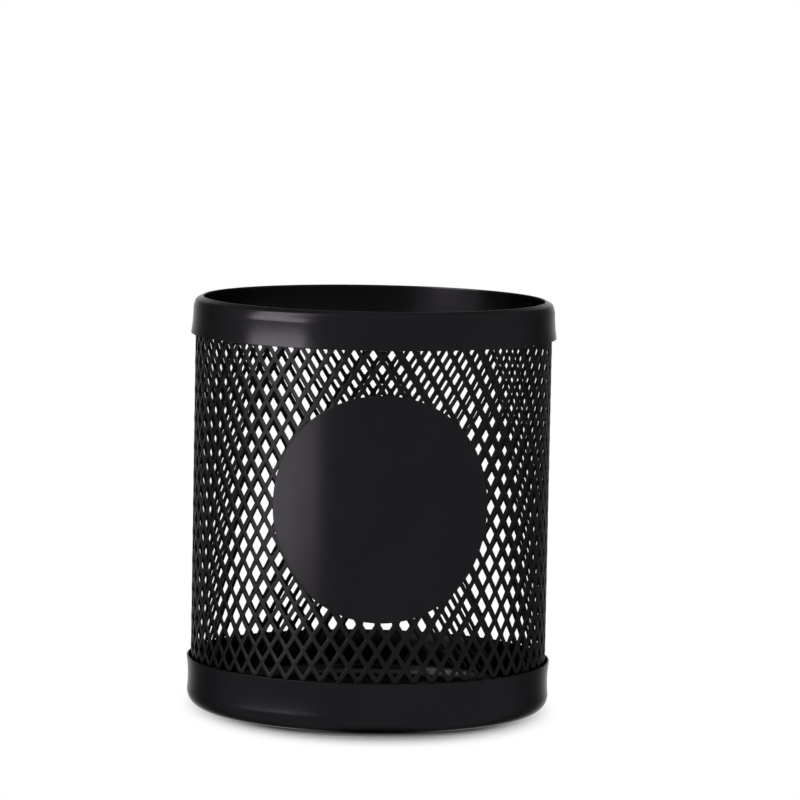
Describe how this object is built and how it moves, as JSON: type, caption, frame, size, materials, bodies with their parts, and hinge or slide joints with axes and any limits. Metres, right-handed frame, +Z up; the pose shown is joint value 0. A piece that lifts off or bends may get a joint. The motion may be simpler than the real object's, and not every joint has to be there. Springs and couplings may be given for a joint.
{
  "type": "mesh pencil cup",
  "caption": "Round desk pencil cup: a straight tube of expanded steel mesh with a folded rim, a solid drawn base and a plain round badge plate on the front.",
  "frame": {"origin": "on the ground under the middle of the cup", "axes": "+Z up along the cup's axis, the badge plate faces -Y"},
  "size_m": [0.0906, 0.0906, 0.102],
  "materials": {
    "mesh_coat": "satin black powder coat on expanded steel",
    "sheet_coat": "satin black powder coat on sheet steel",
    "badge_coat": "fine satin black coat on sheet steel, unprinted"
  },
  "bodies": {
    "root": {"mesh_sleeve": "mesh_coat", "top_rim": "sheet_coat", "base_pan": "sheet_coat", "badge_plate": "badge_coat"}
  },
  "joints": []
}
